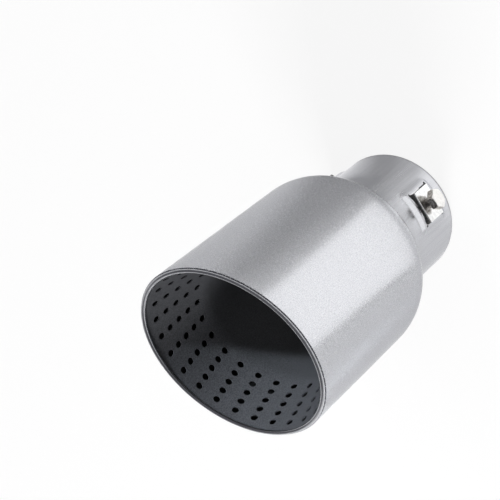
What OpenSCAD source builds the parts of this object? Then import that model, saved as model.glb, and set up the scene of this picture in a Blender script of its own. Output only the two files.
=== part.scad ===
// Clamp-on exhaust tip: a round slant-cut outer shell with a necked-in inlet,
// a black perforated funnel inside it, and three screw clamps in windows of the neck.
// The inlet end lies at z = 0, the mouth is up, and the long side of the lip is at +Y.

/* [Outer shell] */
// Outside diameter of the body
body_d = 100; // [96:1:120]
// Thickness of the shell's sheet
wall = 1.2; // [0.8:0.1:2]
// Height of the mouth's centre above the inlet end
mouth_h = 182.4; // [176:1:230]
// Slant of the mouth from square, in degrees
slant = 18.8; // [0:0.5:24]
// Height of the domed shoulder
shoulder_h = 17.2; // [10:0.5:26]
// Radius of the fillet between the neck and the shoulder
root_r = 3.8; // [2:0.2:6]

/* [Rolled lip] */
// Radius of the rolled lip's section
lip_r = 1.2; // [0.8:0.1:2]
// Step from the body's outside in to the lip's outside
lip_step = 0.5; // [0.2:0.1:1]

/* [Neck] */
// Bore of the neck, which takes the tailpipe
bore_d = 67.6; // [60:0.2:72]
// Height of the neck, up to the shoulder's fillet
neck_h = 58; // [52:1:64]

/* [Perforated liner] */
// Thickness of the liner's sheet
liner_t = 0.6; // [0.5:0.1:1.2]
// Half angle of the funnel, in degrees
funnel_a = 17.5; // [14:0.5:20]
// Depth below the plane of the mouth at which the funnel starts to turn into the throat
funnel_depth = 36.5; // [36:0.5:42]
// Length of the rounded bend from the funnel to the throat
turn_l = 8; // [4:0.5:12]
// Depth below the plane of the mouth at which the throat becomes a straight tube
throat_depth = 100; // [80:1:103]
// Step from the neck's bore out to the throat tube's bore
throat_step = 0.2; // [0.1:0.05:0.6]
// Diameter of the punched holes
hole_d = 3.5; // [2:0.1:4]
// Rings of holes
hole_rings = 5; // [3:1:6]
// Holes in the ring nearest to the mouth
ring_holes = 27; // [20:1:30]
// Holes that each next ring has fewer
ring_loss = 1; // [0:1:1]
// Depth of the first ring below the plane of the mouth
first_ring = 8.5; // [7:0.5:12]
// Depth from each ring to the next
ring_step = 6.4; // [5:0.2:7]
// Angle of the row of holes that every ring shares, in degrees
shared_row = -81.6; // [-100:0.2:-70]
// Gap between the liner and what it fits in
liner_gap = 0.1; // [0.05:0.05:0.2]

/* [Clamps] */
// Number of clamps round the neck
clamps = 3; // [3:1:3]
// Angle of the first clamp, in degrees
clamp_a = 45; // [30:1:60]
// Height of the clamps' centre above the inlet end
clamp_z = 22.4; // [21:0.1:24]
// Width of a clamp bracket round the neck
bracket_w = 17.7; // [14:0.1:18.5]
// Length of a bracket's top plate along the neck
bracket_l = 16; // [14:0.2:18]
// Thickness of a bracket's sheet
bracket_t = 1.8; // [1.4:0.1:2]
// Distance of a bracket's top face from the axis of the neck
plate_r = 37.5; // [37.4:0.1:39]
// Length of each bracket foot beyond the plate
foot_l = 4; // [3:0.2:5]
// Thickness of the feet, pressed thinner than the plate
foot_t = 1.3; // [1:0.1:1.4]
// Gap between the feet and the pad over them
foot_gap = 0.1; // [0.05:0.05:0.2]
// Gap from a bracket's side to the window's edge
side_gap = 0.35; // [0.3:0.05:1.2]
// Gap from a bracket's folded walls to the window's edge
end_gap = 1.5; // [1:0.05:2.2]
// Radius of the relief cut in each corner of a window
relief_r = 0.9; // [0.6:0.1:1.2]

/* [Bolts] */
// Thread diameter of a clamp bolt
bolt_d = 6; // [5:0.5:6]
// Width of the hexagon head across its flats
head_w = 10; // [8:0.5:10]
// Height of the head
head_h = 4; // [3:0.2:5]
// Angle at which the head's first corner stands, in degrees
head_turn = 36; // [0:1:60]
// Length of the bolt below its head
bolt_l = 5.6; // [5:0.2:6.2]
// Height of the head's underside above the bracket
head_lift = 2.7; // [2:0.1:3]
// Radial gap between the bolt and its hole
bolt_gap = 0.05; // [0.02:0.01:0.1]

/* [Hidden] */

smooth = 96;
sides = 104;
lip_facets = 10;
turns = 4;
eps = 0.01;
body_r = body_d / 2;
bore_r = bore_d / 2;
neck_r = bore_r + wall;
dome_r = neck_r + root_r;
dome_z = neck_h + root_r + shoulder_h;
top_z = mouth_h + body_r * tan(slant) + 2 * lip_r;

lip_centre_r = body_r - lip_step - lip_r;
// Depth below the plane of the mouth at which the plain wall ends inside the rolled lip
wall_end = 1.4 * lip_r;

funnel_g = tan(funnel_a);
liner_skin = liner_t / cos(funnel_a);
liner_top = 2 * lip_r + liner_gap;
funnel_top_r = body_r - wall - liner_gap;
// The throat tube stands on the inside of the shoulder's fillet, clear of the neck's bore
tube_in_r = bore_r + throat_step;
tube_r = tube_in_r + liner_t;
fillet_r = root_r + wall;
seat_z = neck_h + fillet_r * sin(acos((dome_r - tube_r - liner_gap) / fillet_r));

plate_in_r = plate_r - bracket_t;
// The feet lie flush with the neck's bore
foot_in_r = bore_r;
foot_out_r = foot_in_r + foot_t;
recess_r = foot_out_r + foot_gap;
pad_r = recess_r + wall;
foot_side = 2.5;
recess_w = bracket_w + 2 * foot_side;
recess_l = bracket_l + 2 * foot_l + 1;
pad_corner = 4;
bend_r = 0.6;

// Everything above the plane that lies the given depth below the plane of the mouth
module above_mouth(depth) {
    reach = 2 * body_d;
    translate([0, 0, mouth_h - depth])
        rotate([slant, 0, 0])
            translate([-reach, -reach, 0]) cube([2 * reach, 2 * reach, reach]);
}

// Outline of the shell from the inlet end up, shifted inward by the given amount
function shell_line(inset, top) = concat(
    [[neck_r - inset, 0]],
    [for (a = [0 : 9 : 90])
        [dome_r - (root_r + inset) * cos(a), neck_h + (root_r + inset) * sin(a)]],
    [for (a = [82 : -8 : 2])
        [dome_r + (body_r - dome_r - inset) * cos(a), dome_z - (shoulder_h - inset) * sin(a)]],
    [[body_r - inset, dome_z], [body_r - inset, top]]);

// Block that stands out through the neck at one clamp, with rounded corners
module pad_block(w, l, corner) {
    translate([0, 0, clamp_z]) rotate([0, 90, 0])
        linear_extrude(height = body_r) {
            square([l, w - 2 * corner], center = true);
            square([l - 2 * corner, w], center = true);
            for (x = [-1, 1], y = [-1, 1])
                translate([x * (l / 2 - corner), y * (w / 2 - corner)]) circle(corner, $fn = 32);
        }
}

module at_clamp(i) {
    rotate([0, 0, clamp_a + i * 360 / clamps]) children();
}

// Window in the neck with a small relief cut in each corner
module window() {
    z0 = clamp_z - bracket_l / 2 - end_gap;
    z1 = clamp_z + bracket_l / 2 + end_gap;
    half = bracket_w / 2 + side_gap;
    translate([bore_r / 2, -half, z0]) cube([body_r, 2 * half, z1 - z0]);
    for (y = [-half, half], z = [z0, z1])
        translate([bore_r / 2, y, z]) rotate([0, 90, 0]) cylinder(r = relief_r, h = body_r, $fn = 24);
}

// A ring of points, parallel to the mouth, at the given radius and depth
function slant_ring(r, depth) = [for (i = [0 : sides - 1])
    let (a = i * 360 / sides)
    [r * cos(a), r * sin(a), mouth_h - depth + r * sin(a) * tan(slant)]];
function level_ring(r, z) = [for (i = [0 : sides - 1])
    let (a = i * 360 / sides)
    [r * cos(a), r * sin(a), z]];

// Solid between rings of points, joined ring to ring and closed on itself
module ring_skin(rings) {
    n = len(rings);
    points = [for (ring = rings) each ring];
    faces = [for (k = [0 : n - 1], i = [0 : sides - 1])
        let (m = (k + 1) % n, j = (i + 1) % sides)
        [k * sides + i, k * sides + j, m * sides + j, m * sides + i]];
    polyhedron(points, faces, convexity = 6);
}

// Rolled lip: a round bead that follows the slanted edge
module lip() {
    ring_skin([for (k = [0 : lip_facets - 1])
        let (a = k * 360 / lip_facets)
        slant_ring(lip_centre_r + lip_r * cos(a), lip_r + lip_r * sin(a))]);
}

module outer_shell() {
    color("silver")
    union() {
        difference() {
            rotate_extrude($fn = smooth)
                polygon(concat(shell_line(0, top_z), [for (i = [len(shell_line(wall, top_z)) - 1 : -1 : 0])
                    shell_line(wall, top_z)[i]]));
            above_mouth(wall_end);
            for (i = [0 : clamps - 1]) at_clamp(i) pad_block(recess_w, recess_l, pad_corner - wall);
        }
        for (i = [0 : clamps - 1]) difference() {
            intersection() {
                difference() {
                    cylinder(r = pad_r, h = neck_h, $fn = smooth);
                    translate([0, 0, -1]) cylinder(r = bore_r, h = neck_h + 2, $fn = smooth);
                }
                at_clamp(i) pad_block(recess_w + 2 * wall, recess_l + 2 * wall, pad_corner);
            }
            intersection() {
                cylinder(r = recess_r, h = neck_h, $fn = smooth);
                at_clamp(i) pad_block(recess_w, recess_l, pad_corner - wall);
            }
            at_clamp(i) window();
        }
        lip();
    }
}

// Radius of the funnel's outer face at a depth below the plane of the mouth
function funnel_r(depth) = funnel_top_r - (depth - liner_top) * funnel_g;

// Slope of the throat, which takes it from the end of the bend to the straight tube
turn_r = funnel_r(funnel_depth);
throat_g = (turn_r - tube_r - funnel_g * turn_l / 2) / (throat_depth - funnel_depth - turn_l / 2);

// Radius of the bend's outer face at a share of the bend's length
function bend_line(share) = turn_r
    - turn_l * (funnel_g * share - (funnel_g - throat_g) * share * share / 2);

// Punch for the hole at the given radius, depth and angle, square to the funnel's wall
module punch(r, depth, a) {
    along = [-r * sin(a), r * cos(a), r * cos(a) * tan(slant)];
    down = [-funnel_g * cos(a), -funnel_g * sin(a), -1 - funnel_g * sin(a) * tan(slant)];
    n = cross(along, down);
    translate([r * cos(a), r * sin(a), mouth_h - depth + r * sin(a) * tan(slant)])
        rotate([0, acos(n[2] / norm(n)), atan2(n[1], n[0])])
            cylinder(d = hole_d, h = 6 * liner_t, center = true, $fn = 24);
}

module perforated_liner() {
    color("#303236")
    difference() {
        ring_skin([
            slant_ring(funnel_top_r, liner_top),
            slant_ring(funnel_top_r - liner_skin, liner_top),
            for (k = [0 : turns]) slant_ring(bend_line(k / turns) - liner_skin
                + (liner_skin - liner_t) * k / turns, funnel_depth + turn_l * k / turns),
            slant_ring(tube_in_r, throat_depth),
            level_ring(tube_in_r, seat_z),
            level_ring(tube_r, seat_z),
            slant_ring(tube_r, throat_depth),
            for (k = [turns : -1 : 0])
                slant_ring(bend_line(k / turns), funnel_depth + turn_l * k / turns)]);
        for (k = [0 : hole_rings - 1]) {
            depth = first_ring + k * ring_step;
            count = ring_holes - k * ring_loss;
            for (j = [0 : count - 1])
                punch(funnel_r(depth) - liner_skin / 2, depth, shared_row + j * 360 / count);
        }
    }
}

// Section of a bracket's hat, drawn with the neck's axis along x and its radius along y
module hat_section() {
    half = bracket_l / 2;
    difference() {
        union() {
            translate([-half, foot_in_r]) square([bracket_l, plate_r - bend_r - foot_in_r]);
            translate([-half + bend_r, plate_r - bend_r - eps]) square([bracket_l - 2 * bend_r, bend_r + eps]);
            for (x = [-1, 1]) translate([x * (half - bend_r), plate_r - bend_r]) circle(bend_r, $fn = 32);
        }
        translate([-half + bracket_t, foot_in_r - 1])
            square([bracket_l - 2 * bracket_t, plate_in_r - foot_in_r + 1]);
    }
}

// Folded clamp bracket: a flat threaded plate, two walls and two curved feet
module clamp_bracket(i) {
    color("gainsboro")
    at_clamp(i) difference() {
        union() {
            translate([0, bracket_w / 2, clamp_z]) rotate([90, 0, 0]) rotate([0, 0, 90])
                linear_extrude(height = bracket_w) mirror([0, 1]) hat_section();
            for (s = [-1, 1]) intersection() {
                difference() {
                    cylinder(r = foot_out_r, h = neck_h, $fn = smooth);
                    translate([0, 0, -1]) cylinder(r = foot_in_r, h = neck_h + 2, $fn = smooth);
                }
                translate([0, -bracket_w / 2, clamp_z + s * (bracket_l / 2 + foot_l / 2 - bracket_t / 2)
                        - (foot_l + bracket_t) / 2])
                    cube([body_r, bracket_w, foot_l + bracket_t]);
            }
        }
        translate([bore_r / 2, 0, clamp_z]) rotate([0, 90, 0])
            cylinder(r = bolt_d / 2 + bolt_gap, h = body_r, $fn = smooth);
        translate([0, 0, -1]) cylinder(r = foot_in_r, h = neck_h + 2, $fn = smooth);
    }
}

// Hexagon-head bolt, screwed in until its tip is just clear of the bore
module clamp_bolt(i) {
    head_z = plate_r + head_lift;
    corner_r = head_w / 2 / cos(30);
    chamfer = 0.6;
    color("silver")
    at_clamp(i) translate([head_z, 0, clamp_z]) rotate([0, 90, 0]) {
        intersection() {
            rotate([0, 0, head_turn]) cylinder(r = corner_r, h = head_h, $fn = 6);
            union() {
                cylinder(r = corner_r + 1, h = head_h - chamfer, $fn = smooth);
                translate([0, 0, head_h - chamfer])
                    cylinder(r1 = corner_r + 0.2, r2 = corner_r - 0.9, h = chamfer, $fn = smooth);
            }
        }
        translate([0, 0, -bolt_l + chamfer]) cylinder(r = bolt_d / 2, h = bolt_l - chamfer + eps, $fn = smooth);
        translate([0, 0, -bolt_l]) cylinder(r1 = bolt_d / 2 - chamfer, r2 = bolt_d / 2, h = chamfer, $fn = smooth);
    }
}

outer_shell();
perforated_liner();
clamp_bracket(0);  // clamp_bracket_1
clamp_bracket(1);  // clamp_bracket_2
clamp_bracket(2);  // clamp_bracket_3
clamp_bolt(0);  // clamp_bolt_1
clamp_bolt(1);  // clamp_bolt_2
clamp_bolt(2);  // clamp_bolt_3
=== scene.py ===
import math

import bmesh
import bpy
import numpy as np
from mathutils import Matrix, Vector


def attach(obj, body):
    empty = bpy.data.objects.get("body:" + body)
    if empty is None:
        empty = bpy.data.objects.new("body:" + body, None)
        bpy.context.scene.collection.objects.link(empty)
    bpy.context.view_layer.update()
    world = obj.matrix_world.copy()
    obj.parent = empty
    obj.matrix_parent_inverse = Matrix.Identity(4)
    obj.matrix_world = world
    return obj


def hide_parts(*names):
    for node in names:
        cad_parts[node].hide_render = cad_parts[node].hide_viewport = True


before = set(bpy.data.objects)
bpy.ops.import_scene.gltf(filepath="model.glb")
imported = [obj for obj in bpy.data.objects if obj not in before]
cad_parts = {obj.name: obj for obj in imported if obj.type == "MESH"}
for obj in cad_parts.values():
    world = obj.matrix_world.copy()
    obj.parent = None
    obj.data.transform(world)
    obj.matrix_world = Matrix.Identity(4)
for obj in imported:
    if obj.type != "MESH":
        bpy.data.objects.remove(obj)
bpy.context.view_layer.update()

# Camera and room: the tip stands on its inlet end on a pale studio floor, and the camera looks
# down into the mouth, turned on its side as the photograph's was.
scene = bpy.context.scene
scene.view_settings.view_transform = "Standard"

lens = bpy.data.cameras.new("camera")
lens.sensor_width = 36
lens.lens = 126.23
lens.shift_x = 0.00314
lens.shift_y = -0.02551
lens.clip_start = 0.05
camera = bpy.data.objects.new("camera", lens)
camera.matrix_world = Matrix((
    (0.86676, -0.33585, 0.36870, 0.289805),
    (0.13107, 0.86667, 0.48135, 0.441525),
    (-0.48120, -0.36889, 0.79521, 0.80695),
    (0, 0, 0, 1)))
scene.collection.objects.link(camera)
scene.camera = camera


def bare_tree(owner):
    """The node tree of a material or world, with nothing in it yet."""
    owner.use_nodes = True
    owner.node_tree.nodes.clear()
    return owner.node_tree


def maths(tree, operation, *values):
    """The result of a maths node; each value is a number or the output of another node."""
    node = tree.nodes.new("ShaderNodeMath")
    node.operation = operation
    for socket, value in zip(node.inputs, values):
        if isinstance(value, (int, float)):
            socket.default_value = value
        else:
            tree.links.new(value, socket)
    return node.outputs[0]


def seen_rays(tree):
    """1 for rays that see the background: the camera's, and those off metal and through glass."""
    path = tree.nodes.new("ShaderNodeLightPath")
    both = maths(tree, "MAXIMUM", path.outputs["Is Camera Ray"], path.outputs["Is Glossy Ray"])
    return maths(tree, "MAXIMUM", both, path.outputs["Is Transmission Ray"])


def split_place(tree, kind):
    """X, Y and Z of each point, in that kind of coordinates."""
    place = tree.nodes.new("ShaderNodeTexCoord")
    parts = tree.nodes.new("ShaderNodeSeparateXYZ")
    tree.links.new(place.outputs[kind], parts.inputs[0])
    return parts.outputs


def ramp(tree, value, stops):
    """The colour that value picks; each stop is a position and the colour there."""
    node = tree.nodes.new("ShaderNodeValToRGB")
    elements = node.color_ramp.elements
    elements.remove(elements[1])
    for number, (where, colour) in enumerate(stops):
        element = elements.new(where) if number else elements[0]
        element.position = where
        element.color = (*colour, 1)
    tree.links.new(value, node.inputs["Fac"])
    return node.outputs["Color"]


def mixed(tree, share, first, second):
    """A mix of two shaders, with that share of the second."""
    mix = tree.nodes.new("ShaderNodeMixShader")
    tree.links.new(share, mix.inputs["Fac"])
    tree.links.new(first.outputs[0], mix.inputs[1])
    tree.links.new(second.outputs[0], mix.inputs[2])
    return mix.outputs[0]


def put_out(tree, surface, kind="ShaderNodeOutputMaterial"):
    """Ends the tree with its output node."""
    out = tree.nodes.new(kind)
    tree.links.new(surface, out.inputs["Surface"])


room = bpy.data.worlds.new("room")
scene.world = room
tree = bare_tree(room)
height = split_place(tree, "Generated")["Z"]
walls = ramp(tree, height, [(0.08, (1, 1, 1)), (0.3, (0.14, 0.14, 0.15))])
air = tree.nodes.new("ShaderNodeBackground")
air.inputs["Strength"].default_value = 0.5
white = tree.nodes.new("ShaderNodeBackground")
white.inputs["Strength"].default_value = 1
tree.links.new(walls, air.inputs["Color"])
tree.links.new(walls, white.inputs["Color"])
put_out(tree, mixed(tree, seen_rays(tree), air, white), "ShaderNodeOutputWorld")

# The floor is matt and takes the tip's shadow; the camera and reflections also see it glow
FLOOR_REACH = 4
CAMERA_GLOW, SEEN_GLOW = 0.72, 0.15
floor_mesh = bpy.data.meshes.new("floor")
corners = [(-FLOOR_REACH, -FLOOR_REACH, 0), (FLOOR_REACH, -FLOOR_REACH, 0),
           (FLOOR_REACH, FLOOR_REACH, 0), (-FLOOR_REACH, FLOOR_REACH, 0)]
floor_mesh.from_pydata(corners, [], [(0, 1, 2, 3)])
floor = bpy.data.objects.new("floor", floor_mesh)
scene.collection.objects.link(floor)
paper = bpy.data.materials.new("paper_floor")
tree = bare_tree(paper)
matt = tree.nodes.new("ShaderNodeBsdfDiffuse")
matt.inputs["Color"].default_value = (0.86, 0.86, 0.86, 1)
glow = tree.nodes.new("ShaderNodeEmission")
glow.inputs["Color"].default_value = (1, 1, 1, 1)
glow.inputs["Strength"].default_value = 1
path = tree.nodes.new("ShaderNodeLightPath")
direct = maths(tree, "MULTIPLY", path.outputs["Is Camera Ray"], CAMERA_GLOW)
share = maths(tree, "MULTIPLY_ADD", seen_rays(tree), SEEN_GLOW, direct)
put_out(tree, mixed(tree, share, matt, glow))
floor_mesh.materials.append(paper)


def hang(name, light, place, target):
    """Hangs a lamp at place, facing target; reflections don't show it."""
    lamp = bpy.data.objects.new(name, light)
    lamp.location = place
    lamp.rotation_euler = (Vector(target) - lamp.location).to_track_quat("-Z", "Y").to_euler()
    lamp.visible_glossy = False
    scene.collection.objects.link(lamp)


def softbox(name, place, size, power):
    """A flat square studio light at place, facing the middle of the tip."""
    light = bpy.data.lights.new(name, "AREA")
    light.shape = "RECTANGLE"
    light.size = size
    light.size_y = size
    light.energy = power
    hang(name, light, place, (0, 0, 0.1))


softbox("key_light", (0.36, -0.88, 0.85), 0.5, 15.5)
softbox("side_light", (-0.7, 0.7, 0.65), 0.5, 2.6)
softbox("top_light", (0.2, 0.3, 1.3), 1.0, 6)

# A narrow spot lights the funnel from over the near side of the lip
beam = bpy.data.lights.new("mouth_spot", "SPOT")
beam.energy = 150
beam.color = (0.88, 0.94, 1)
beam.spot_size = math.radians(6.7)
beam.spot_blend = 0.9
beam.shadow_soft_size = 0.07
hang("mouth_spot", beam, (-0.29, 0.54, 0.84), (0.0085, -0.012, 0.18))

# Lit pieces of the floor that only reflections show
PANEL_LIFT, PANEL_GLOW = 0.0008, 1.5


def mapped(tree, value, given, wanted):
    """Value carried over in a straight line from one range to another."""
    span = tree.nodes.new("ShaderNodeMapRange")
    ends = (*given, *wanted)
    for name, end in zip(("From Min", "From Max", "To Min", "To Max"), ends):
        span.inputs[name].default_value = end
    tree.links.new(value, span.inputs["Value"])
    return span.outputs["Result"]


def lit_panel(name, inner, outer, first, last, levels):
    """A lit piece of a ring on the floor, between two radii and two angles round the tip; levels
    gives how bright it is at each angle."""
    arc = [math.radians(a) for a in np.linspace(first, last, 40)]
    points = [(r * math.cos(a), r * math.sin(a), PANEL_LIFT) for r in (inner, outer) for a in arc]
    count = len(arc)
    faces = [(i, count + i, count + i + 1, i + 1) for i in range(count - 1)]
    mesh = bpy.data.meshes.new(name)
    mesh.from_pydata(points, [], faces)
    panel = bpy.data.objects.new(name, mesh)
    panel.visible_camera = False
    panel.visible_diffuse = False
    panel.visible_shadow = False
    scene.collection.objects.link(panel)
    lit = bpy.data.materials.new(name)
    tree = bare_tree(lit)
    parts = split_place(tree, "Object")
    angle = maths(tree, "ARCTAN2", parts["Y"], parts["X"])
    share = mapped(tree, angle, (-math.pi, math.pi), (0, 1))
    stops = [((at + 180) / 360, (level, level, level)) for at, level in levels]
    glow = tree.nodes.new("ShaderNodeEmission")
    glow.inputs["Strength"].default_value = PANEL_GLOW
    tree.links.new(ramp(tree, share, stops), glow.inputs["Color"])
    put_out(tree, glow.outputs[0])
    mesh.materials.append(lit)


# The wide panel makes the bright band of the body, its edge the step beside that band, and the
# two panels close to the inlet the light and dark bands of the neck
lit_panel("body_panel", 0.098, 0.3, 9, 78, [(-180, 1)])
lit_panel("dark_edge", 0.098, 0.3, 5, 9, [(-180, 0.45)])
right_levels = [(-180, 0.68), (10, 0.68), (50, 0.93), (63, 0.9), (75, 0.54), (100, 0.36)]
lit_panel("neck_panel_right", 0.0352, 0.062, -80, 100, right_levels)
left_levels = [(-180, 0.36), (114, 0.36), (145, 0.75), (180, 0.93)]
lit_panel("neck_panel_left", 0.0352, 0.052, 100, 179.9, left_levels)

# Outer shell: one tube of stainless sheet, drawn in to the neck and pressed out at three pads,
# each with a window for a clamp. Satin silver under a clear gloss, with its edge rolled in.
SHEET = 0.0012
BODY_R, BORE_R, DOME_R = 0.05, 0.0338, 0.0388
NECK_R = BORE_R + SHEET
NECK_TOP, DOME_TOP, MOUTH_H = 0.058, 0.079, 0.1824
FILLET_R, SHOULDER_H = 0.0038, 0.0172
SLANT = math.tan(math.radians(18.8))
CLAMP_Z = 0.0224
CLAMP_TURNS = [math.radians(45 + 120 * number) for number in range(3)]
PAD_HALF_W, PAD_HALF_H, PAD_RISE = 0.0089, 0.0101, 0.0014
PAD_MARGIN, PAD_SLOPE = 0.003, 0.005
INLET_EDGE = ((0.0003, 0), (0.0001, 0.0001))
LIP_START, LIP_INSIDE = 0.002, 0.0026
LIP_STEP = ((0.00002, 0.0018), (0.00012, 0.00166), (0.0003, 0.0016), (0.00045, 0.00158),
            (0.00055, 0.00152))
BEAD_R, BEAD_MIDDLE = 0.0012, 0.0483
HALF_W, HALF_H, RELIEF_R = 0.0092, 0.0095, 0.0009
CUT_FROM, CUT_TO = 0.02, 0.045
AROUND = 288
turn = np.arange(AROUND) * 2 * np.pi / AROUND
# The rings of the neck lie close together beside the pads
neck_heights = [0.0003, *np.arange(0.0012, 0.0405, 0.00075), *np.arange(0.043, 0.0575, 0.003)]
neck_heights.append(NECK_TOP)


def level_ring(radius, height):
    """Points of a ring at that height; radius may be one number or one for each point."""
    return np.stack([radius * np.cos(turn), radius * np.sin(turn), np.full(AROUND, height)], 1)


def slant_ring(radius, depth):
    """Points of a ring at that depth below the slanted plane of the mouth."""
    up = MOUTH_H - depth + radius * np.sin(turn) * SLANT
    return np.stack([radius * np.cos(turn), radius * np.sin(turn), up], 1)


def pressed_out(height):
    """How far the three pads stand out of the neck at that height, at each point round it."""
    out = np.zeros(AROUND)
    for middle in CLAMP_TURNS:
        aside = ((turn - middle + np.pi) % (2 * np.pi) - np.pi) * NECK_R
        past_side = np.maximum(np.abs(aside) - PAD_HALF_W, 0)
        past_end = max(abs(height - CLAMP_Z) - PAD_HALF_H, 0)
        share = np.clip(0.5 - (np.hypot(past_side, past_end) - PAD_MARGIN) / PAD_SLOPE, 0, 1)
        out += PAD_RISE * share * share * (3 - 2 * share)
    return out


def face_of_sheet(inset, last):
    """Rings of one face of the sheet, that far in from the outer one, up to its last ring."""
    rings = [level_ring(NECK_R - inset + pressed_out(z), z) for z in neck_heights]
    for a in np.radians(np.arange(10, 91, 10)):
        r = DOME_R - (FILLET_R + inset) * math.cos(a)
        rings.append(level_ring(r, NECK_TOP + (FILLET_R + inset) * math.sin(a)))
    for a in np.radians(np.arange(84, 0, -6)):
        r = DOME_R + (BODY_R - DOME_R - inset) * math.cos(a)
        rings.append(level_ring(r, DOME_TOP - (SHOULDER_H - inset) * math.sin(a)))
    foot = level_ring(BODY_R - inset, DOME_TOP)
    for share in np.linspace(0, 1, 13)[:-1]:
        rings.append(foot + (last - foot) * share)
    return [*rings, last]


def ring_piece(name, rings, slots=None, capped=False):
    """A closed piece whose skin runs from ring to ring, and back to the first or to two end caps;
    slots gives each band's material."""
    n = len(rings[0])
    count = len(rings)
    points = np.concatenate(rings)
    faces = []
    bands = []
    if capped:
        faces = [tuple(range(n))[::-1], tuple(range((count - 1) * n, count * n))]
        bands = [0, 0]
    for k in range(count - capped):
        m = (k + 1) % count
        for i in range(n):
            j = (i + 1) % n
            faces.append((k * n + i, k * n + j, m * n + j, m * n + i))
            bands.append(slots[k] if slots else 0)
    mesh = bpy.data.meshes.new(name)
    mesh.from_pydata(points.tolist(), [], faces)
    mesh.polygons.foreach_set("material_index", bands)
    mesh.polygons.foreach_set("use_smooth", [True] * len(faces))
    piece = bpy.data.objects.new(name, mesh)
    scene.collection.objects.link(piece)
    return piece


def prism(points, axes, low, high, into):
    """Adds to the bmesh a prism of the outline, in the first two axes, from low to high in the
    third; the fourth of axes is where they start."""
    first, second, third, start = axes
    ends = []
    for level in (low, high):
        corners = [start + first * u + second * v + third * level for u, v in points]
        ends.append([into.verts.new(corner) for corner in corners])
    count = len(points)
    into.faces.new(ends[0][::-1])
    into.faces.new(ends[1])
    for i in range(count):
        j = (i + 1) % count
        into.faces.new((ends[0][i], ends[0][j], ends[1][j], ends[1][i]))


def clamp_axes(middle):
    """Axes of a clamp for prism: to its side, up, and out from the tip's axis."""
    aside = Vector((-math.sin(middle), math.cos(middle), 0))
    out = Vector((math.cos(middle), math.sin(middle), 0))
    return aside, Vector((0, 0, 1)), out, Vector((0, 0, CLAMP_Z))


def cut_away(piece, solid, finish):
    """Takes the bmesh's solid out of the piece, gives the cut that finish, and leaves the edges
    of the cut sharp."""
    bmesh.ops.recalc_face_normals(solid, faces=solid.faces)
    cutter_mesh = bpy.data.meshes.new("cutter")
    solid.to_mesh(cutter_mesh)
    solid.free()
    cutter_mesh.materials.append(finish)
    cutter = bpy.data.objects.new("cutter", cutter_mesh)
    scene.collection.objects.link(cutter)
    cut = piece.modifiers.new("cut", "BOOLEAN")
    cut.operation = "DIFFERENCE"
    cut.object = cutter
    cut.solver = "EXACT"
    cut.material_mode = "TRANSFER"
    ready = piece.evaluated_get(bpy.context.evaluated_depsgraph_get())
    mesh = bpy.data.meshes.new_from_object(ready)
    piece.modifiers.clear()
    piece.data = mesh
    bpy.data.objects.remove(cutter)
    mesh.set_sharp_from_angle(angle=math.radians(32))


outside = [level_ring(NECK_R - inset, z) for inset, z in INLET_EDGE]
outside += face_of_sheet(0, slant_ring(BODY_R, LIP_START))
inside = face_of_sheet(SHEET, slant_ring(BODY_R - SHEET, LIP_INSIDE))[::-1]
inside += [level_ring(BORE_R + inset, z) for inset, z in INLET_EDGE[::-1]]

# The lip: a small step in from the body, then a bead rolled over to the inside
lip = [slant_ring(BODY_R - inset, depth) for inset, depth in LIP_STEP]
for a in np.radians(np.arange(-10, 251, 10)):
    lip.append(slant_ring(BEAD_MIDDLE + BEAD_R * math.cos(a), BEAD_R - BEAD_R * math.sin(a)))

# The finishes, band by band: the lip's starts at the foot of its step
SATIN, SHADE_PAINTED, SMOOTH, DRAWN = range(4)
neck_bands = len(neck_heights) + len(INLET_EDGE)
step_bands = len(LIP_STEP) - 2
slots = [DRAWN] * neck_bands
slots += [SATIN] * (len(outside) + step_bands - neck_bands)
slots += [SMOOTH] * (len(lip) - step_bands)
# The shell's inner face, from the lip down to the neck, gets painted shade
slots += [SHADE_PAINTED] * (len(inside) - neck_bands)
slots += [SATIN] * neck_bands
shell = ring_piece("shell", outside + lip + inside, slots)

# Windows, with a small relief cut in each corner
outline = []
for x, z, start in ((HALF_W, -HALF_H, -180), (HALF_W, HALF_H, -90),
                    (-HALF_W, HALF_H, 0), (-HALF_W, -HALF_H, 90)):
    for a in np.radians(np.linspace(start, start + 270, 9)):
        outline.append((x + RELIEF_R * math.cos(a), z + RELIEF_R * math.sin(a)))
windows = bmesh.new()
for middle in CLAMP_TURNS:
    prism(outline, clamp_axes(middle), CUT_FROM, CUT_TO, windows)

# Nearly all of a noise lies between these values
NOISE_LOW, NOISE_HIGH = 0.3, 0.7


def start_material(name):
    """A new material with only its shader, and the shader's tree."""
    material = bpy.data.materials.new(name)
    tree = bare_tree(material)
    shader = tree.nodes.new("ShaderNodeBsdfPrincipled")
    put_out(tree, shader.outputs[0])
    return material, tree, shader


def glossed_steel(name):
    """Stainless steel under a thin clear gloss."""
    material, tree, shader = start_material(name)
    shader.inputs["Metallic"].default_value = 1
    shader.inputs["Specular Tint"].default_value = (0.66, 0.66, 0.68, 1)
    shader.inputs["Coat Weight"].default_value = 0.35
    shader.inputs["Coat Roughness"].default_value = 0.06
    return material, tree, shader


def grain(tree, size):
    """Noise whose grains are about size across, in metres, in the object's own space."""
    place = tree.nodes.new("ShaderNodeTexCoord")
    spots = tree.nodes.new("ShaderNodeTexNoise")
    spots.inputs["Scale"].default_value = 1 / size
    spots.inputs["Detail"].default_value = 4
    tree.links.new(place.outputs["Object"], spots.inputs["Vector"])
    return spots.outputs["Fac"]


def tint(tree, shader, noise, dark, light):
    """Colours the surface between dark and light by a noise."""
    colour = ramp(tree, noise, [(NOISE_LOW, dark), (NOISE_HIGH, light)])
    tree.links.new(colour, shader.inputs["Base Color"])


def dull(tree, shader, noise, least, most):
    """Makes the surface's roughness vary between least and most by a noise."""
    rough = mapped(tree, noise, (NOISE_LOW, NOISE_HIGH), (least, most))
    tree.links.new(rough, shader.inputs["Roughness"])


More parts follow.
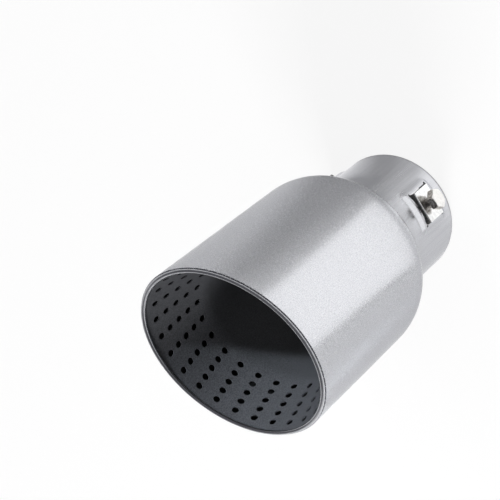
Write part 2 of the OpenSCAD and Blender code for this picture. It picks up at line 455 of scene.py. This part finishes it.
def pit(tree, shader, noise, depth, strength):
    """Gives the surface a bump of that depth, in metres, by a noise."""
    bump = tree.nodes.new("ShaderNodeBump")
    bump.inputs["Distance"].default_value = depth
    bump.inputs["Strength"].default_value = strength
    tree.links.new(noise, bump.inputs["Height"])
    tree.links.new(bump.outputs["Normal"], shader.inputs["Normal"])


satin, tree, shader = glossed_steel("satin_silver")
sparkle = grain(tree, 0.0006)
tint(tree, shader, sparkle, (0.47, 0.475, 0.50), (0.61, 0.615, 0.64))
dull(tree, shader, sparkle, 0.22, 0.3)
pit(tree, shader, sparkle, 0.00005, 0.3)

# The rolled lip is smoother than the body
smooth_lip, tree, shader = glossed_steel("smooth_lip")
sheen = grain(tree, 0.004)
tint(tree, shader, sheen, (0.50, 0.505, 0.53), (0.56, 0.565, 0.59))
dull(tree, shader, sheen, 0.16, 0.22)

# The neck was drawn through a die, which left fine streaks along it
drawn_neck, tree, shader = glossed_steel("drawn_neck")
place = tree.nodes.new("ShaderNodeTexCoord")
stretch = tree.nodes.new("ShaderNodeMapping")
stretch.inputs["Scale"].default_value = (420, 420, 14)
tree.links.new(place.outputs["Object"], stretch.inputs["Vector"])
streaks = tree.nodes.new("ShaderNodeTexNoise")
streaks.inputs["Scale"].default_value = 1
tree.links.new(stretch.outputs["Vector"], streaks.inputs["Vector"])
tint(tree, shader, streaks.outputs["Fac"], (0.51, 0.515, 0.54), (0.565, 0.57, 0.595))
dull(tree, shader, streaks.outputs["Fac"], 0.2, 0.28)

# Painted shade: the shell's inner face, in the unlit space between shell and liner, is near black
painted_shade_inside, tree, shader = start_material("painted_shade_inside")
shader.inputs["Roughness"].default_value = 0.8
tint(tree, shader, grain(tree, 0.003), (0.004, 0.004, 0.004), (0.012, 0.012, 0.012))

for finish in (satin, painted_shade_inside, smooth_lip, drawn_neck):
    shell.data.materials.append(finish)
cut_away(shell, windows, satin)
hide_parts("outer_shell")
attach(shell, "root")

# Perforated liner: a thin steel funnel, punched with rings of round holes and coated satin black,
# pushed in below the lip. Its throat tube stands on the fillet above the neck.
HALF_ANGLE = math.radians(17.5)
FUNNEL = math.tan(HALF_ANGLE)
LINER_T = 0.0006
LINER_SKIN, LINER_WALL = LINER_T / math.cos(HALF_ANGLE), LINER_T * 1.02
FUNNEL_TOP = BODY_R - SHEET - 0.0001
LINER_TOP, BEND_START, BEND_H, THROAT_END = 0.0025, 0.0365, 0.008, 0.1
TUBE_IN, TUBE_FOOT = BORE_R + 0.0002, 0.0616
HOLE_RINGS, MOST_HOLES, FIRST_RING, RING_STEP = 5, 27, 0.0085, 0.0064
FIRST_HOLE = -81.6
PUNCH_R, PUNCH_REACH = 0.00175, 0.0018


def funnel_r(depth):
    """Outer radius of the straight funnel at a depth below the plane of the mouth."""
    return FUNNEL_TOP - (depth - LINER_TOP) * FUNNEL


def circle(radius, count):
    """Points of a circle, for prism."""
    angles = np.arange(count) * math.tau / count
    return [(radius * math.cos(a), radius * math.sin(a)) for a in angles]


# The bore: the straight funnel, the bend at its foot, and the throat that narrows to the tube
turn_r = funnel_r(BEND_START)
throat_slope = turn_r - TUBE_IN - LINER_T - FUNNEL * BEND_H / 2
throat_slope /= THROAT_END - BEND_START - BEND_H / 2
bore = [(FUNNEL_TOP - LINER_SKIN, LINER_TOP)]
bore += [(funnel_r(d) - LINER_SKIN, d) for d in np.arange(0.004, 0.036, 0.0016)]
for share in np.linspace(0, 1, 13):
    r = turn_r - BEND_H * (FUNNEL * share - (FUNNEL - throat_slope) * share * share / 2)
    bore.append((r - LINER_SKIN + (LINER_SKIN - LINER_T) * share, BEND_START + BEND_H * share))
for depth in np.arange(0.05, THROAT_END, 0.01):
    bore.append((TUBE_IN + (THROAT_END - depth) * throat_slope, depth))
bore.append((TUBE_IN, THROAT_END))
rings = [slant_ring(r, d) for r, d in bore]
rings += [level_ring(TUBE_IN, TUBE_FOOT), level_ring(TUBE_IN + LINER_T, TUBE_FOOT)]
rings += [slant_ring(r + LINER_WALL, d) for r, d in bore[::-1]]
liner = ring_piece("liner", rings[::-1])

# Each hole is punched square to the wall, in rings that follow the slant of the mouth
punches = bmesh.new()
for ring in range(HOLE_RINGS):
    depth = FIRST_RING + RING_STEP * ring
    count = MOST_HOLES - ring
    for hole in range(count):
        a = math.radians(FIRST_HOLE + hole * 360 / count)
        x, y = math.cos(a), math.sin(a)
        r = funnel_r(depth) - LINER_SKIN / 2
        middle = Vector((r * x, r * y, MOUTH_H - depth + r * y * SLANT))
        along = Vector((-r * y, r * x, r * x * SLANT)).normalized()
        down = Vector((-FUNNEL * x, -FUNNEL * y, -1 - FUNNEL * y * SLANT))
        out = along.cross(down).normalized()
        across = out.cross(along)
        prism(circle(PUNCH_R, 28), (along, across, out, middle), -PUNCH_REACH, PUNCH_REACH, punches)

black, tree, shader = start_material("satin_black")
shader.inputs["Specular IOR Level"].default_value = 0.35
grit = grain(tree, 0.0006)
tint(tree, shader, grit, (0.03, 0.031, 0.034), (0.085, 0.087, 0.094))
dull(tree, shader, grit, 0.38, 0.55)
pit(tree, shader, grit, 0.0001, 0.35)
liner.data.materials.append(black)
cut_away(liner, punches, black)
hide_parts("perforated_liner")
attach(liner, "root")

# Clamp brackets: strips of zinc-plated steel folded to a hat, with a flat threaded plate, two walls
# and two curved feet that lie under the pad's edges. The walls, feet and ends carry painted shade.
PLATE_R, PLATE_T = 0.0375, 0.0018
HALF_PLATE, HALF_BRACKET = 0.008, 0.00885
FOOT_T, FOOT_END, FOOT_CUT = 0.0013, 0.012, 0.0003
BEND_R, FOOT_BEND, INNER_CUT = 0.0006, 0.0007, 0.0004
HOLE_R, DRILL_FROM, DRILL_TO = 0.00305, 0.0345, 0.04


def hat_ring(aside):
    """Section of the bracket at that distance aside from its middle: points (out, aside, up)."""
    foot_in = math.sqrt(BORE_R ** 2 - aside ** 2)
    foot_out = math.sqrt((BORE_R + FOOT_T) ** 2 - aside ** 2)
    half = [(foot_in, FOOT_END), (foot_out - FOOT_CUT, FOOT_END), (foot_out, FOOT_END - FOOT_CUT)]
    for a in np.radians((0, 30, 60, 90)):
        out = foot_out + FOOT_BEND * (1 - math.cos(a))
        half.append((out, HALF_PLATE + FOOT_BEND * (1 - math.sin(a))))
    for a in np.radians(np.arange(0, 91, 10)):
        out = PLATE_R - BEND_R * (1 - math.sin(a))
        half.append((out, HALF_PLATE - BEND_R * (1 - math.cos(a))))
    under, wall = PLATE_R - PLATE_T, HALF_PLATE - PLATE_T
    inner = [(foot_in, wall), (under - INNER_CUT, wall), (under, wall - INNER_CUT)]
    upper = half + [(out, -up) for out, up in half[::-1]]
    lower = [(out, -up) for out, up in inner] + inner[::-1]
    return np.array([(out, aside, CLAMP_Z + up) for out, up in upper + lower])


zinc, tree, shader = start_material("zinc_plate")
shader.inputs["Metallic"].default_value = 1
bloom = grain(tree, 0.002)
tint(tree, shader, bloom, (0.70, 0.70, 0.70), (0.84, 0.84, 0.835))
dull(tree, shader, bloom, 0.16, 0.26)
pit(tree, shader, grain(tree, 0.0004), 0.00003, 0.3)

# Painted shade: near-black steel for the bracket's walls, feet and ends
shaded_steel, tree, shader = start_material("painted_shade_steel")
shade_mottle = grain(tree, 0.0012)
tint(tree, shader, shade_mottle, (0.05, 0.05, 0.05), (0.14, 0.137, 0.134))
dull(tree, shader, shade_mottle, 0.3, 0.5)

asides = HALF_BRACKET * np.sin(np.linspace(-math.pi / 2, math.pi / 2, 25))
for number, middle in enumerate(CLAMP_TURNS, 1):
    bracket = ring_piece("bracket_%d" % number, [hat_ring(aside) for aside in asides], capped=True)
    bracket.data.materials.append(zinc)
    bracket.data.materials.append(shaded_steel)
    # The plate and its bends keep the zinc colour; the rest is painted dark as shade
    for face in bracket.data.polygons:
        top = max(bracket.data.vertices[v].co.x for v in face.vertices)
        low = top < PLATE_R - BEND_R + 0.0002
        face.material_index = 1 if low or abs(face.normal.y) > 0.9 else 0
    drill = bmesh.new()
    prism(circle(HOLE_R, 48), clamp_axes(0), DRILL_FROM, DRILL_TO, drill)
    cut_away(bracket, drill, zinc)
    bracket.data.transform(Matrix.Rotation(middle, 4, "Z"))
    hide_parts("clamp_bracket_%d" % number)
    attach(bracket, "root")

# Clamp bolts: hexagon-head screws with a rolled thread, whose tips press on the tailpipe. The tops
# of the heads are bright; sides and shanks are stained brown and darkened as painted shade.
THREAD_R, THREAD_DEPTH, PITCH = 0.003, 0.0006, 0.001
BOLT_TIP, HEAD_FOOT, HEAD_H = 0.0346, 0.0402, 0.004
HEAD_TOP = HEAD_FOOT + HEAD_H
TIP_FLAT_R, TIP_EDGE_R, TIP_CONE_R = 0.0018, 0.0021, 0.0022
THREAD_FROM, THREAD_TO = BOLT_TIP + 0.0001, HEAD_FOOT - 0.0004
SHANK_R, SHANK_TOP = 0.0029, HEAD_FOOT - 0.0003
FOOT_R, FOOT_EDGE = 0.0046, 0.0002
HALF_FLATS, FLAT_R, CHAMFER_SLOPE = 0.005, 0.00487, 0.55
HOLLOW = ((0.0035, 0.00015), (0.0015, 0.0002))
HEAD_TURN = 36
steps = np.arange(0, 360, 5)
bolt_turn = np.radians(HEAD_TURN + steps)
hexagon = HALF_FLATS / np.cos(np.radians(steps % 60 - 30))


def bolt_ring(radius, out):
    """Points round the bolt's axis; radius and out may be one number or one for each point."""
    every_out = np.broadcast_to(out, bolt_turn.shape)
    up = CLAMP_Z - radius * np.cos(bolt_turn)
    return np.stack([every_out, radius * np.sin(bolt_turn), up], 1)


steel, tree, shader = start_material("bolt_steel")
shader.inputs["Metallic"].default_value = 1
bloom = grain(tree, 0.0012)
tint(tree, shader, bloom, (0.72, 0.705, 0.685), (0.88, 0.87, 0.855))
dull(tree, shader, bloom, 0.3, 0.42)
pit(tree, shader, bloom, 0.00008, 0.5)

# Brown stain and painted shade in one, for the sides, neck and thread of each bolt
browned_and_shaded, tree, shader = start_material("brown_and_shaded_steel")
shader.inputs["Metallic"].default_value = 1
brown_shade_noise = grain(tree, 0.0011)
tint(tree, shader, brown_shade_noise, (0.08, 0.06, 0.05), (0.85, 0.82, 0.78))
dull(tree, shader, brown_shade_noise, 0.28, 0.45)

# From the tip outwards: the thread, the plain neck of the shank, and the head, whose top edges
# are turned to a chamfer and whose top is a little hollow
rings = [bolt_ring(TIP_FLAT_R, BOLT_TIP), bolt_ring(TIP_EDGE_R, BOLT_TIP)]
for out in np.arange(THREAD_FROM, THREAD_TO, PITCH / 8):
    phase = (out / PITCH - bolt_turn / math.tau) % 1
    thread = THREAD_R - THREAD_DEPTH * np.abs(2 * phase - 1)
    rings.append(bolt_ring(np.minimum(thread, TIP_CONE_R + out - BOLT_TIP), out))
rings.append(bolt_ring(SHANK_R, SHANK_TOP))
rings.append(bolt_ring(FOOT_R, HEAD_FOOT))
rings.append(bolt_ring(hexagon - FOOT_EDGE, HEAD_FOOT))
rings.append(bolt_ring(hexagon, HEAD_FOOT + FOOT_EDGE))
# The shank and the head's sides get the brown stain and painted shade
slots = [1] * len(rings)
edge = HEAD_TOP - (hexagon - FLAT_R) * CHAMFER_SLOPE
rings.append(bolt_ring(hexagon, edge))
rings.append(bolt_ring((hexagon + FLAT_R) / 2, (edge + HEAD_TOP) / 2))
rings.append(bolt_ring(FLAT_R, HEAD_TOP))
rings += [bolt_ring(radius, HEAD_TOP - depth) for radius, depth in HOLLOW]
slots += [0] * (len(rings) - len(slots))

for number, middle in enumerate(CLAMP_TURNS, 1):
    bolt = ring_piece("bolt_%d" % number, rings, slots, capped=True)
    bolt.data.materials.append(steel)
    bolt.data.materials.append(browned_and_shaded)
    bolt.data.set_sharp_from_angle(angle=math.radians(28))
    bolt.data.transform(Matrix.Rotation(middle, 4, "Z"))
    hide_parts("clamp_bolt_%d" % number)
    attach(bolt, "root")
